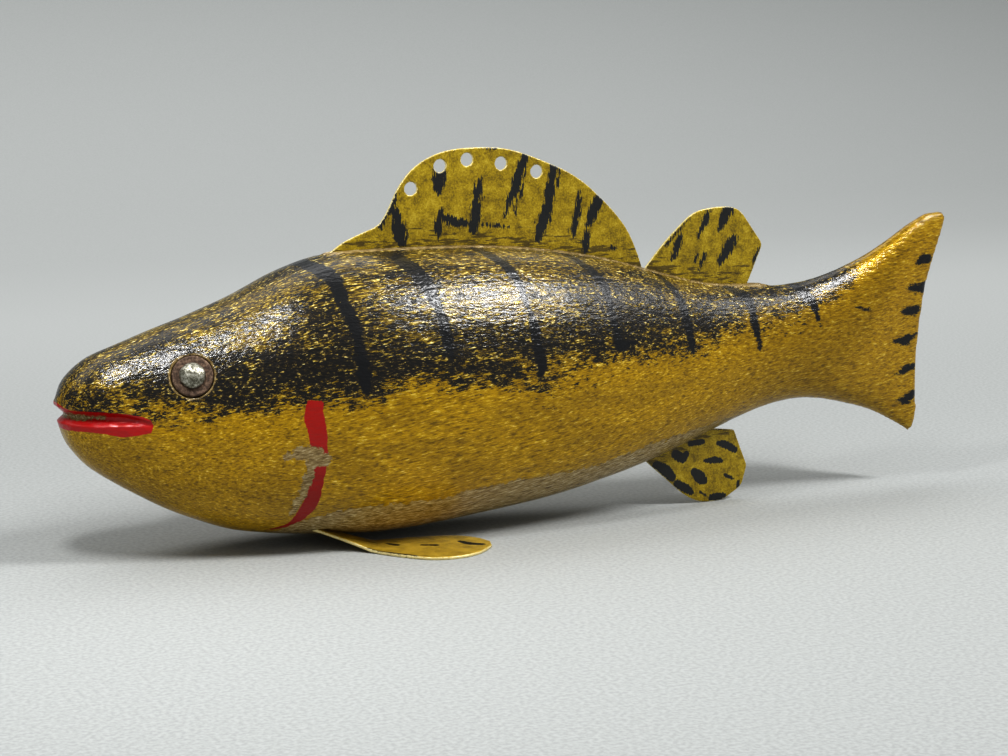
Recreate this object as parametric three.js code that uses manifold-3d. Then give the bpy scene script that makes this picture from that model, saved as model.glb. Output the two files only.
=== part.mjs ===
// A fish decoy: a perch carved from one block of wood, with fins cut from sheet metal let into saw
// slots, and eyes made of a washer held by a domed tack. It stands on its two pectoral fins and on
// the foot of its anal fin. Millimetres, nose towards -X, left flank towards -Y, floor at z = 0.
import * as THREE from 'three';
import { mergeVertices } from 'three/addons/utils/BufferGeometryUtils.js';
import Module from 'manifold-3d';

// Driving dimensions of the body
const bodyLength = 216;
const bodyDepth = 60.9;
const bodyWidth = 43;
const bellyClearance = 1.2;
const noseRounding = 0.04;
const chinFullness = 2.4;
const tailSweepStart = 0.82;

// Driving dimensions of the mouth
const mouth = { corner: 0.081, depth: 2.1, openAtFront: 3.9, openAtCorner: 3 };

// Driving dimensions of the sheet metal fins
const sheetThickness = 0.7;
const slotClearance = 0.3;
const slotDepth = 5;
const frontDorsal = { start: 0.2755, length: 75.2, height: 21.4 };
const rearDorsal = { gap: 0.5, length: 31, root: 26.7, height: 17.8 };
const analFin = { start: 0.628, length: 27.2, root: 17.3 };
const pectoral = { start: 0.25, fromKeel: 8, sweep: 19, slope: 11, length: 36.2, width: 21, tang: 6 };
// The holes for the jigging line: each one's place along the fin, and its depth below the fin's edge
const tieHoleDiameter = 2.9;
const tieHolePlaces = [[0.25, 3.8], [0.34, 2.8], [0.425, 2.5], [0.534, 3.3], [0.65, 2.9]];

// Driving dimensions of the eyes
const eyePlace = { along: 0.117, up: 0.6305 };
const washer = { diameter: 8.2, hole: 2.4, thickness: 1 };
const tack = { head: 5.4, rise: 1.6, shank: 1.5, length: 7 };
const recess = { clearance: 0.3, depth: 1.2 };
const restGap = 0.3;

// The lines that the carver works to. Along is a share of the body's length from the nose, and up a
// share of its depth above the lowest part of the belly.
const backLine = curveThrough([
  [0, 0.648], [0.044, 0.7], [0.089, 0.758], [0.133, 0.809], [0.179, 0.87], [0.225, 0.944], [0.272, 0.991],
  [0.33, 1], [0.43, 0.996], [0.5, 0.976], [0.574, 0.931], [0.645, 0.862], [0.694, 0.818], [0.75, 0.802],
  [0.804, 0.797], [0.86, 0.838], [0.918, 0.925], [0.972, 1.032], [1, 1.048],
]);
const bellyLine = curveThrough([
  [0, 0.352], [0.014, 0.345], [0.027, 0.315], [0.056, 0.246], [0.099, 0.156], [0.144, 0.085], [0.18, 0.046],
  [0.243, 0.015], [0.315, 0], [0.37, 0.01], [0.43, 0.032], [0.5, 0.061], [0.57, 0.11], [0.63, 0.166], [0.708, 0.262],
  [0.769, 0.33], [0.825, 0.35], [0.9, 0.3], [0.95, 0.246], [1, 0.184],
]);
const widthLine = curveThrough([
  [0, 0.33], [0.02, 0.375], [0.045, 0.455], [0.08, 0.55], [0.13, 0.7], [0.18, 0.83], [0.23, 0.93], [0.28, 0.985],
  [0.33, 1], [0.41, 0.975], [0.5, 0.885], [0.59, 0.725], [0.66, 0.575], [0.73, 0.43], [0.79, 0.335],
  [0.85, 0.26], [0.91, 0.19], [0.96, 0.125], [1, 0.08],
]);
const widestLine = curveThrough([[0, 0.62], [0.04, 0.56], [0.1, 0.48], [0.3, 0.46], [0.6, 0.48], [1, 0.5]]);
const fullness = curveThrough([[0, 2.1], [0.3, 2.2], [0.75, 2.15], [0.9, 2.5], [1, 3.2]]);
// How far the tail's end lies ahead of its upper tip, from the lower tip up, as a share of the length.
const tailEdge = curveThrough([
  [0, -0.039], [0.04, -0.0335], [0.14, -0.0335], [0.28, -0.035], [0.45, -0.0325], [0.63, -0.027], [0.82, -0.0135],
  [0.97, 0], [1, -0.003],
]);
// The mouth's height from the nose to its corner, as a share of the depth
const mouthLine = curveThrough([[0, 0.4975], [0.37, 0.496], [0.68, 0.491], [1, 0.473]]);

// Number of stations along the body, how far they crowd towards the nose, and points round each one
const stations = 62;
const crowding = 0.45;
const ringPoints = 36;
// The first station, as a share of the length: the nose's tip is closed by a small flat
const noseTip = 0.0004;

/** A smooth function through points [place, value], level-headed at its ends. */
function curveThrough(points) {
  const slope = (i) => {
    const a = points[Math.max(i - 1, 0)];
    const b = points[Math.min(i + 1, points.length - 1)];
    return (b[1] - a[1]) / (b[0] - a[0]);
  };
  return (place) => {
    let i = 0;
    while (i < points.length - 2 && place > points[i + 1][0]) i += 1;
    const [x0, v0] = points[i];
    const [x1, v1] = points[i + 1];
    const span = x1 - x0;
    const t = THREE.MathUtils.clamp((place - x0) / span, 0, 1);
    const rise = 2 * t ** 3 - 3 * t ** 2;
    const leave = (t ** 3 - 2 * t ** 2 + t) * span * slope(i);
    const arrive = (t ** 3 - t ** 2) * span * slope(i + 1);
    return v0 * (rise + 1) - v1 * rise + leave + arrive;
  };
}

const alongToX = (along) => (along - 0.5) * bodyLength;
const xToAlong = (x) => x / bodyLength + 0.5;
const upToZ = (up) => bellyClearance + up * bodyDepth;
const backAt = (x) => upToZ(backLine(xToAlong(x)));
const bellyAt = (x) => upToZ(bellyLine(xToAlong(x)));

/** The body's section at a station: its top, bottom, half width, widest height and roundness. */
function sectionAt(along) {
  const short = Math.max(1 - along / noseRounding, 0);
  const nose = Math.sqrt(1 - short ** 2);
  const chin = (1 - short ** chinFullness) ** (1 / chinFullness);
  const top = upToZ(backLine(along));
  const bottom = upToZ(bellyLine(along));
  const widest = bottom + (top - bottom) * widestLine(along);
  return {
    top: widest + (top - widest) * nose,
    bottom: widest + (bottom - widest) * chin,
    half: (bodyWidth / 2) * widthLine(along) * chin,
    widest,
    power: fullness(along),
  };
}

/** A point of the body's surface. The angle starts at the back and turns down over the left flank. */
function bodyPoint(along, angle) {
  const { top, bottom, half, widest, power } = sectionAt(along);
  const c = Math.cos(angle);
  const s = Math.sin(angle);
  const reach = c > 0 ? top - widest : widest - bottom;
  const z = widest + reach * Math.sign(c) * Math.abs(c) ** (2 / power);
  const y = -half * Math.sign(s) * Math.abs(s) ** (2 / power);
  const height = top > bottom ? (z - bottom) / (top - bottom) : 0.5;
  const swept = Math.max((along - tailSweepStart) / (1 - tailSweepStart), 0) ** 2;
  return new THREE.Vector3(alongToX(along) + swept * tailEdge(height) * bodyLength, y, z);
}

/** The angle of the left flank's point at a height. */
function angleAtHeight(along, z) {
  const { top, bottom, widest, power } = sectionAt(along);
  const reach = z > widest ? top - widest : widest - bottom;
  const c = Math.min(Math.abs(z - widest) / reach, 1) ** (power / 2);
  return z > widest ? Math.acos(c) : Math.PI - Math.acos(c);
}

/** The height of the belly's surface at a distance from the keel. */
function bellyHeight(x, fromKeel) {
  const { bottom, half, widest, power } = sectionAt(xToAlong(x));
  return widest - (widest - bottom) * (1 - (fromKeel / half) ** power) ** (1 / power);
}

/** A closed mesh from a list of rings of equal length, each given in the same turning sense. */
function loft(rings) {
  const count = rings[0].length;
  const positions = rings.flat().flatMap((p) => [p.x, p.y, p.z]);
  const faces = [];
  for (let r = 0; r < rings.length - 1; r += 1) {
    for (let i = 0; i < count; i += 1) {
      const a = r * count + i;
      const b = r * count + ((i + 1) % count);
      faces.push(a, b, b + count, a, b + count, a + count);
    }
  }
  const last = (rings.length - 1) * count;
  for (let i = 0; i < count / 2; i += 1) {
    const j = (count - i) % count;
    const k = (count - i - 1) % count;
    if (i !== j) {
      faces.push(i, j, k);
      faces.push(last + i, last + k, last + j);
    }
    if (i + 1 !== k) {
      faces.push(i, k, i + 1);
      faces.push(last + i, last + i + 1, last + k);
    }
  }
  const geometry = new THREE.BufferGeometry();
  geometry.setAttribute('position', new THREE.Float32BufferAttribute(positions, 3));
  geometry.setIndex(faces);
  return geometry;
}

const wasm = await Module();
wasm.setup();

/** A solid that can be joined and cut, from a closed mesh. */
function toSolid(geometry) {
  const bare = geometry.clone();
  bare.deleteAttribute('normal');
  bare.deleteAttribute('uv');
  const merged = mergeVertices(bare, 1e-5);
  return new wasm.Manifold(new wasm.Mesh({
    numProp: 3,
    vertProperties: new Float32Array(merged.attributes.position.array),
    triVerts: new Uint32Array(merged.index.array),
  }));
}

/** The mesh of a solid. */
function toGeometry(solid) {
  const mesh = solid.getMesh();
  const geometry = new THREE.BufferGeometry();
  geometry.setAttribute('position', new THREE.Float32BufferAttribute(mesh.vertProperties, 3));
  geometry.setIndex(new THREE.Uint32BufferAttribute(mesh.triVerts, 1));
  return geometry;
}

/** The same mesh on the other side of the keel. */
function mirrored(geometry) {
  const other = geometry.clone().scale(1, -1, 1);
  const index = other.index.array;
  for (let i = 0; i < index.length; i += 3) [index[i], index[i + 1]] = [index[i + 1], index[i]];
  return other;
}

/** The carved block, before anything is cut into it. */
function carvedBlock() {
  const rings = [];
  for (let s = 0; s <= stations; s += 1) {
    const t = s / stations;
    const along = THREE.MathUtils.lerp(t, t ** 2, crowding);
    const ring = [];
    for (let i = 0; i < ringPoints; i += 1) {
      ring.push(bodyPoint(Math.max(along, noseTip), (i / ringPoints) * 2 * Math.PI));
    }
    rings.push(ring);
  }
  return loft(rings);
}

/** The notch of the mouth: a V round the snout from corner to corner, which runs out at each corner. */
function mouthCutter() {
  const steps = 36;
  const proud = 1.5;
  const path = [];
  for (let s = 0; s <= steps; s += 1) {
    const side = (2 * s) / steps - 1;
    const along = Math.max(mouth.corner * side ** 2, noseTip);
    const point = bodyPoint(along, angleAtHeight(along, upToZ(mouthLine(along / mouth.corner))));
    if (side > 0) point.y = -point.y;
    path.push({ side: Math.abs(side), point });
  }
  const rings = path.map(({ side, point }, s) => {
    const before = path[Math.max(s - 1, 0)].point;
    const after = path[Math.min(s + 1, steps)].point;
    const outward = new THREE.Vector3(before.y - after.y, after.x - before.x, 0).normalize();
    const shift = mouth.depth * side ** 8;
    const opening = THREE.MathUtils.lerp(mouth.openAtFront, mouth.openAtCorner, side);
    const wide = (opening / 2) * (1 + proud / mouth.depth);
    const corner = (out, up) => point.clone().addScaledVector(outward, out + shift).setZ(point.z + up);
    return [corner(-mouth.depth, 0), corner(proud, -wide), corner(proud, 0), corner(proud, wide)];
  });
  return loft(rings);
}

/** A fin's edge as points [x, z], from its profile of shares above the back. */
function frontDorsalEdge() {
  const profile = curveThrough([
    [0, 0], [0.044, 0.09], [0.108, 0.18], [0.154, 0.25], [0.18, 0.385], [0.212, 0.61], [0.263, 0.81],
    [0.343, 0.95], [0.446, 1], [0.56, 0.995], [0.696, 0.89], [0.77, 0.81], [0.834, 0.69], [0.94, 0.395], [0.99, 0.1], [1, 0],
  ]);
  const x0 = alongToX(frontDorsal.start);
  return (share) => {
    const x = x0 + share * frontDorsal.length;
    return new THREE.Vector2(x, backAt(x) + profile(share) * frontDorsal.height);
  };
}

/** A run of points round an outline whose corners [x, z, radius] are rounded. */
function roundedRun(corners) {
  const path = new THREE.Path();
  corners.forEach(([x, z, radius], i) => {
    const here = new THREE.Vector2(x, z);
    if (i === 0) {
      path.moveTo(x, z);
    } else if (i === corners.length - 1) {
      path.lineTo(x, z);
    } else {
      const before = new THREE.Vector2(...corners[i - 1].slice(0, 2));
      const after = new THREE.Vector2(...corners[i + 1].slice(0, 2));
      const enter = here.clone().lerp(before, Math.min(radius / here.distanceTo(before), 0.5));
      const leave = here.clone().lerp(after, Math.min(radius / here.distanceTo(after), 0.5));
      path.lineTo(enter.x, enter.y);
      path.quadraticCurveTo(x, z, leave.x, leave.y);
    }
  });
  return path.getPoints(5);
}

/** The tang that goes into the wood: the body's line from one x to the other, moved into the wood. */
function tangRun(fromX, toX, line, intoWood) {
  const steps = 10;
  const run = [];
  for (let s = 0; s <= steps; s += 1) {
    const x = THREE.MathUtils.lerp(fromX, toX, s / steps);
    run.push(new THREE.Vector2(x, line(x) + intoWood));
  }
  return run;
}

/** A plate in the plane of the keel, from a shape drawn in x and z. */
function keelPlate(shape, thickness) {
  const plate = new THREE.ExtrudeGeometry(shape, { depth: thickness, bevelEnabled: false, curveSegments: 12 });
  return plate.rotateX(Math.PI / 2).translate(0, thickness / 2, 0);
}

/** The saw slot for a fin whose tang lies between two places. */
function slotCutter(fromX, toX, line, intoWood) {
  const grow = Math.sign(intoWood) * slotClearance;
  const floor = tangRun(fromX - slotClearance, toX + slotClearance, line, intoWood + grow);
  const mouth = tangRun(toX + slotClearance, fromX - slotClearance, line, -intoWood);
  return keelPlate(new THREE.Shape([...floor, ...mouth]), sheetThickness + 2 * slotClearance);
}

const edgeOfFrontDorsal = frontDorsalEdge();
const frontDorsalSpan = [alongToX(frontDorsal.start), alongToX(frontDorsal.start) + frontDorsal.length];
const rearDorsalStart = frontDorsalSpan[1] + rearDorsal.gap;
const rearDorsalSpan = [rearDorsalStart, rearDorsalStart + rearDorsal.root];
const analStart = alongToX(analFin.start);
const analSpan = [analStart, analStart + analFin.root];

/** The front dorsal fin, with five holes under its edge for the jigging line. */
function frontDorsalPlate() {
  const steps = 64;
  const edge = [];
  for (let s = 0; s <= steps; s += 1) edge.push(edgeOfFrontDorsal(s / steps));
  const tang = tangRun(frontDorsalSpan[1], frontDorsalSpan[0], backAt, -slotDepth);
  const shape = new THREE.Shape([...edge, ...tang]);
  for (const [share, below] of tieHolePlaces) {
    const at = edgeOfFrontDorsal(share);
    const hole = new THREE.Path().absarc(at.x, at.y - below, tieHoleDiameter / 2, 0, 2 * Math.PI);
    shape.holes.push(hole);
  }
  return keelPlate(shape, sheetThickness);
}

/** The rear dorsal fin, a leaf with one blunt corner at its rear. */
function rearDorsalPlate() {
  const [start, end] = rearDorsalSpan;
  const corners = [[0.17, 0.44, 0.17], [0.4, 0.9, 0.17], [0.635, 1.01, 0.22], [0.79, 0.99, 0.14], [1, 0.53, 0.07]];
  const edge = corners.map(([share, up, rounding]) => {
    const x = start + share * rearDorsal.length;
    return [x, backAt(x) + up * rearDorsal.height, rounding * rearDorsal.height];
  });
  const run = roundedRun([[start, backAt(start), 0], ...edge, [end, backAt(end), 0]]);
  return keelPlate(new THREE.Shape([...run, ...tangRun(end, start, backAt, -slotDepth)]), sheetThickness);
}

/** The anal fin, whose foot reaches down to the floor. */
function analPlate() {
  const [start, end] = analSpan;
  const corners = [
    [0.4, 0.89, 0.14], [0.55, 1, 0.07], [0.76, 1, 0.07], [0.95, 0.85, 0.05], [1, 0.62, 0.02], [0.865, 0.15, 0.02],
  ];
  const edge = corners.map(([share, down, rounding]) => {
    const x = start + share * analFin.length;
    return [x, bellyAt(x) * (1 - down), rounding * analFin.length];
  });
  const run = roundedRun([[start, bellyAt(start), 0], ...edge, [end, bellyAt(end), 0]]);
  return keelPlate(new THREE.Shape([...run, ...tangRun(end, start, bellyAt, slotDepth)]), sheetThickness);
}

/** The left pectoral fin: a leaf that slopes down out of the belly and then lies flat on the floor. */
function pectoralLeaf(grow) {
  const rootX = alongToX(pectoral.start);
  const rootHeight = bellyHeight(rootX, pectoral.fromKeel);
  const steepness = rootHeight / pectoral.slope;
  const sweep = THREE.MathUtils.degToRad(pectoral.sweep);
  const outer = curveThrough([
    [0, 0.05], [0.15, 0.13], [0.3, 0.26], [0.45, 0.45], [0.62, 0.6], [0.8, 0.56], [0.93, 0.36], [1, 0.1],
  ]);
  const inner = curveThrough([[0, 0.13], [0.3, 0.22], [0.6, 0.34], [0.8, 0.36], [0.93, 0.24], [1, 0.06]]);
  const steps = 24;
  const rings = [];
  for (let s = -3; s <= steps; s += 1) {
    const tang = (s / 3) * pectoral.tang - (s === -3 ? grow : 0);
    const blade = (s / steps) ** 0.9 * pectoral.length + (s === steps ? grow : 0);
    const along = s < 0 ? tang : blade;
    const share = THREE.MathUtils.clamp(along / pectoral.length, 0, 1);
    const under = Math.max(pectoral.slope - along, 0) * steepness;
    const thick = sheetThickness * (under > 0 ? Math.hypot(1, steepness) : 1);
    const place = (out, z) => new THREE.Vector3(
      rootX + along * Math.cos(sweep) + out * Math.sin(sweep) * -1,
      -pectoral.fromKeel - along * Math.sin(sweep) - out * Math.cos(sweep),
      z,
    );
    const far = -pectoral.width * inner(share) - grow;
    const near = pectoral.width * outer(share) + grow;
    const low = under - grow;
    const high = under + thick + grow;
    rings.push([place(near, low), place(far, low), place(far, high), place(near, high)]);
  }
  return loft(rings);
}

/** The place and outward direction of the left eye. */
function eyeFrame() {
  const angle = angleAtHeight(eyePlace.along, upToZ(eyePlace.up));
  const small = 0.002;
  const here = bodyPoint(eyePlace.along, angle);
  const alongBody = bodyPoint(eyePlace.along + small, angle).sub(bodyPoint(eyePlace.along - small, angle));
  const downFlank = bodyPoint(eyePlace.along, angle + small).sub(bodyPoint(eyePlace.along, angle - small));
  const outward = downFlank.cross(alongBody).normalize();
  if (outward.y > 0) outward.negate();
  return new THREE.Matrix4().compose(
    here,
    new THREE.Quaternion().setFromUnitVectors(new THREE.Vector3(0, 0, 1), outward),
    new THREE.Vector3(1, 1, 1),
  );
}

/** A turned piece about Z from a closed profile of [radius, z]. */
function turned(profile, segments = 32) {
  const points = profile.map(([radius, z]) => new THREE.Vector2(radius, z));
  return new THREE.LatheGeometry(points, segments).rotateX(Math.PI / 2);
}

const recessFloor = -recess.depth;
const washerBottom = recessFloor + restGap;
const washerTop = washerBottom + washer.thickness;
const headBottom = washerTop + restGap;

/** The pocket for the washer and the pilot hole for the tack. */
function eyeCutter() {
  const pocket = washer.diameter / 2 + recess.clearance;
  const pilot = tack.shank / 2 + restGap;
  const above = 3;
  const deep = headBottom - tack.length - restGap;
  return turned([[0, deep], [pilot, deep], [pilot, recessFloor], [pocket, recessFloor], [pocket, above], [0, above]]);
}

/** The flat washer round the eye, with softened outer edge. */
function washerRing() {
  const outer = washer.diameter / 2;
  const inner = washer.hole / 2;
  const soft = 0.2;
  return turned([
    [inner, washerBottom], [outer, washerBottom], [outer, washerTop - soft], [outer - soft, washerTop],
    [inner, washerTop], [inner, washerBottom],
  ]);
}

/** The domed tack that holds the washer. */
function eyeTack() {
  const shank = tack.shank / 2;
  const point = headBottom - tack.length;
  const profile = [[0, point], [shank, point + tack.shank], [shank, headBottom], [tack.head / 2, headBottom]];
  const steps = 6;
  for (let s = 1; s <= steps; s += 1) {
    const turn = (s / steps) * (Math.PI / 2);
    const radius = s === steps ? 0 : (tack.head / 2) * Math.cos(turn);
    profile.push([radius, headBottom + tack.rise * Math.sin(turn)]);
  }
  return turned(profile, 24);
}

const material = (color, roughness, metalness) => new THREE.MeshStandardMaterial({ color, roughness, metalness });
const goldOnWood = material('#a58424', 0.4, 0.3);
const goldOnTin = material('#a8902c', 0.45, 0.4);
const rustySteel = material('#4b3f38', 0.6, 0.6);
const brightSteel = material('#8d8f8c', 0.3, 0.9);

const decoy = new THREE.Group();

/** Adds a named piece to the decoy. */
function addPiece(name, geometry, itsMaterial) {
  const mesh = new THREE.Mesh(geometry, itsMaterial);
  mesh.name = name;
  decoy.add(mesh);
}

const leftEye = eyeFrame();
const leftPectoral = pectoralLeaf(0);
const cutters = [
  mouthCutter(),
  slotCutter(...frontDorsalSpan, backAt, -slotDepth),
  slotCutter(...rearDorsalSpan, backAt, -slotDepth),
  slotCutter(...analSpan, bellyAt, slotDepth),
];
for (const cutter of [mergeVertices(eyeCutter().applyMatrix4(leftEye)), pectoralLeaf(slotClearance)]) {
  cutters.push(cutter, mirrored(cutter));
}
let body = toSolid(carvedBlock());
for (const cutter of cutters) body = body.subtract(toSolid(cutter));

addPiece('body', toGeometry(body), goldOnWood);
addPiece('dorsal_fin_front', frontDorsalPlate(), goldOnTin);
addPiece('dorsal_fin_rear', rearDorsalPlate(), goldOnTin);
addPiece('anal_fin', analPlate(), goldOnTin);
addPiece('pectoral_fin_left', leftPectoral, goldOnTin);
addPiece('pectoral_fin_right', mirrored(leftPectoral), goldOnTin);
for (const [piece, shape, metal] of [['washer', washerRing(), rustySteel], ['tack', eyeTack(), brightSteel]]) {
  const left = mergeVertices(shape.applyMatrix4(leftEye));
  addPiece(`eye_${piece}_left`, left, metal);
  addPiece(`eye_${piece}_right`, mirrored(left), metal);
}

export default decoy;
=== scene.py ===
import math

import bpy
import numpy as np
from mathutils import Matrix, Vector
from mathutils import noise as lumps
from mathutils.bvhtree import BVHTree
from mathutils.kdtree import KDTree


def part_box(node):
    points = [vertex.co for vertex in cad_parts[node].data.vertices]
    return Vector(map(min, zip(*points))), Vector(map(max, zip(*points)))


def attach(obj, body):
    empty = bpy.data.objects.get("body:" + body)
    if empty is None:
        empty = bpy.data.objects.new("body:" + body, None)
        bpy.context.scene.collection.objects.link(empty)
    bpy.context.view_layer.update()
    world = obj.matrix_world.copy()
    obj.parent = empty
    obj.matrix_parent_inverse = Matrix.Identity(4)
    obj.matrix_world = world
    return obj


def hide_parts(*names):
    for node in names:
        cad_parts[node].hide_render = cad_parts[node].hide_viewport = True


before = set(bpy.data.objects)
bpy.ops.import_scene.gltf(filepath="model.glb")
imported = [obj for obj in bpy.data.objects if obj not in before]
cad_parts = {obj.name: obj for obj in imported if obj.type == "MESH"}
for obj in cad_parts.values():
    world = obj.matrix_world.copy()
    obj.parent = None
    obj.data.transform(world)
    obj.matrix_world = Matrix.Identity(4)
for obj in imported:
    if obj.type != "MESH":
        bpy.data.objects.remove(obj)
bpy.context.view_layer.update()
MM = 0.001

# The body
# One block of soft pine, carved and rasped to a perch with its tail and mouth notch. It is brushed
# with gold paint, sponged black over the back, barred with a brush and varnished, and its underside
# and a few scuffs show bare wood, coloured darker low on the belly.


def take_up(piece):
    """Makes a piece the only selected and the active one."""
    if bpy.context.object and bpy.context.object.mode != "OBJECT":
        bpy.ops.object.mode_set(mode="OBJECT")
    bpy.ops.object.select_all(action="DESELECT")
    piece.select_set(True)
    bpy.context.view_layer.objects.active = piece


def copy_of_node(node, name):
    """A piece with the form of a CAD node, its corners merged into one closed skin."""
    piece = bpy.data.objects.new(name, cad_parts[node].data.copy())
    piece.data.materials.clear()
    bpy.context.scene.collection.objects.link(piece)
    take_up(piece)
    bpy.ops.object.mode_set(mode="EDIT")
    bpy.ops.mesh.select_all(action="SELECT")
    bpy.ops.mesh.remove_doubles(threshold=0.002 * MM)
    bpy.ops.object.mode_set(mode="OBJECT")
    return piece


def apply_modifier(piece, kind, **settings):
    """Adds a modifier with its settings and applies it."""
    take_up(piece)
    modifier = piece.modifiers.new(kind.title(), kind)
    for key, value in settings.items():
        setattr(modifier, key, value)
    bpy.ops.object.modifier_apply(modifier=modifier.name)


def points_of(piece):
    """The piece's points in millimetres."""
    places = np.empty(len(piece.data.vertices) * 3, np.float32)
    piece.data.vertices.foreach_get("co", places)
    return places.reshape(-1, 3).astype(float) / MM


def normals_of(piece):
    directions = np.empty(len(piece.data.vertices) * 3, np.float32)
    piece.data.vertex_normals.foreach_get("vector", directions)
    return directions.reshape(-1, 3).astype(float)


def move_points(piece, points):
    piece.data.vertices.foreach_set("co", (points * MM).astype(np.float32).ravel())
    piece.data.update()


def paint_in(piece, name, values):
    """Stores one number for each point, for the material to read."""
    layer = piece.data.attributes.new(name, "FLOAT", "POINT")
    layer.data.foreach_set("value", np.asarray(values, np.float32))


def weigh(piece, weights):
    """A vertex group that holds one weight for each point, rounded to a few levels."""
    group = piece.vertex_groups.new(name="weights")
    levels = 20
    steps = np.round(weights * levels).astype(int)
    for step in range(1, levels + 1):
        chosen = np.where(steps == step)[0]
        if len(chosen):
            group.add(chosen.tolist(), step / levels, "REPLACE")
    return group.name


def refine(piece, chosen, cuts):
    """Cuts the faces whose middle the test picks into finer ones."""
    middles = np.empty(len(piece.data.polygons) * 3, np.float32)
    piece.data.polygons.foreach_get("center", middles)
    take_up(piece)
    bpy.context.tool_settings.mesh_select_mode = (False, False, True)
    bpy.ops.object.mode_set(mode="EDIT")
    bpy.ops.mesh.select_all(action="DESELECT")
    bpy.ops.object.mode_set(mode="OBJECT")
    piece.data.polygons.foreach_set("select", chosen(middles.reshape(-1, 3) / MM))
    bpy.ops.object.mode_set(mode="EDIT")
    bpy.ops.mesh.subdivide(number_cuts=cuts)
    bpy.ops.object.mode_set(mode="OBJECT")


def rise(low, high, value):
    """0 below low, 1 above high and a smooth rise between."""
    t = np.clip((value - low) / (high - low), 0, 1)
    return t * t * (3 - 2 * t)


def smooth_line(points):
    """A smooth run of places through a few chosen ones."""
    points = np.array(points, float)
    ends = np.vstack([2 * points[0] - points[1], points, 2 * points[-1] - points[-2]])
    run = []
    for a, b, c, d in zip(ends[:-3], ends[1:-2], ends[2:-1], ends[3:]):
        for t in (0, 0.2, 0.4, 0.6, 0.8):
            turn = (2 * a - 5 * b + 4 * c - d) * t**2 + (3 * b - a - 3 * c + d) * t**3
            run.append(b + 0.5 * ((c - a) * t + turn))
    return np.array(run + [points[-1]])


# The depth of a point that no stroke comes near, in millimetres
OUTSIDE = -6.0


def stroke_depth(points, runs):
    """How far inside the nearest stroke each point lies. A run holds x, y, z and the width there."""
    best = np.full(len(points), OUTSIDE)
    for run in runs:
        inside = (points > run[:, :3].min(0) + OUTSIDE) & (points < run[:, :3].max(0) - OUTSIDE)
        near = np.where(inside.all(1))[0]
        for a, b in zip(run[:-1], run[1:]):
            along = b[:3] - a[:3]
            t = np.clip(((points[near] - a[:3]) @ along) / max(along @ along, 1e-9), 0, 1)
            gap = np.linalg.norm(points[near] - (a[:3] + t[:, None] * along), axis=1)
            best[near] = np.maximum(best[near], (a[3] + (b[3] - a[3]) * t) / 2 - gap)
    return best


body = copy_of_node("body", "carved_body")
skin = BVHTree.FromObject(body, bpy.context.evaluated_depsgraph_get())


def on_flank(x, z, side):
    """The body's surface at a place seen from the side, in millimetres."""
    beyond = 60
    found = skin.ray_cast(Vector((x, side * beyond, z)) * MM, Vector((0, -side, 0)))[0]
    return np.array(found) / MM if found else np.array((x, 0.0, z))


def flank_depth(points, lines):
    """How far inside brush strokes that are laid alike on both flanks each point lies."""
    depth = np.full(len(points), OUTSIDE)
    for side in (-1, 1):
        runs = []
        for line in lines:
            runs.append(np.array([[*on_flank(x, z, side), width] for x, z, width in smooth_line(line)]))
        here = points[:, 1] * side > 0
        depth[here] = stroke_depth(points[here], runs)
    return depth


def above_line(points, line):
    """How far above a line of [x, height] each point lies."""
    line = np.array(line)
    return points[:, 2] - np.interp(points[:, 0], line[:, 0], line[:, 1])


# The brushed bars, head to tail: [x, height, width] along each one, in millimetres.
BARS = [
    [[-55, 60.4, 3.4], [-51.6, 57.8, 3.8], [-50.8, 52.5, 2.9], [-49.4, 48.5, 3],
     [-49, 44, 2.4], [-48.6, 39.9, 3], [-48.4, 36, 2.2], [-48, 34.8, 0.8]],
    [[-36, 61.6, 4], [-32.9, 58.4, 4], [-31.2, 53.7, 3], [-30.2, 50, 2.2],
     [-29.7, 46, 2.8], [-29.2, 42.6, 2], [-29, 40.4, 0.6]],
    [[-15.6, 61.8, 3], [-12, 59, 2.8], [-10.4, 55.6, 2.6], [-9.4, 50.4, 1.2],
     [-8.7, 46.4, 2.2], [-8.1, 41.6, 2.8], [-7.8, 37.5, 2.4], [-8.4, 35.6, 0.8]],
    [[6, 59.6, 2.8], [9.8, 56, 2.6], [11.5, 53, 2.6], [11.8, 48, 1.6],
     [12.4, 43.4, 2.4], [12.8, 40.4, 2.6], [15, 40.6, 2.2], [17, 41, 1]],
    [[28.6, 54.6, 2.2], [31.2, 50.6, 2.4], [32.2, 46.8, 2.6],
     [32.5, 42.6, 2.4], [33, 39, 2.2], [33.4, 36.6, 1]],
    [[46.6, 50.6, 2.6], [50.8, 48, 2.8], [51.6, 45.2, 2.3],
     [51.8, 41.5, 2.3], [52.6, 37.6, 1.6], [52.9, 35.6, 0.5]],
    [[66, 49.4, 2.6], [68.8, 45.6, 2.2], [69.8, 42, 1.2], [70.8, 38.6, 0.4]],
    [[35, 36.4, 0.4], [39, 36.4, 0.3]],
    [[81, 44.1, 0.6], [83.9, 43, 0.8], [85, 43.2, 0.3]],
]
# Short dabs in from the tail's edge, from the upper one down.
TAIL_DABS = [
    [[103.6, 54.4, 1.2], [102, 54, 2.6], [99.6, 53, 1.4]],
    [[102, 47.2, 3], [99, 47.2, 2.4], [97.2, 46.8, 1.6]],
    [[100.6, 42.4, 2.2], [97.6, 41.8, 2.4], [95, 41.8, 1]],
    [[99.8, 35.8, 1.4], [96.6, 34.8, 2.6], [93.2, 35, 0.8]],
    [[99.6, 28.4, 2], [97, 27.6, 2.6], [94.2, 27.4, 0.9]],
    [[99.9, 21.6, 2.2], [97.6, 20.6, 2.4], [94.4, 20.4, 0.8]],
]
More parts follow.
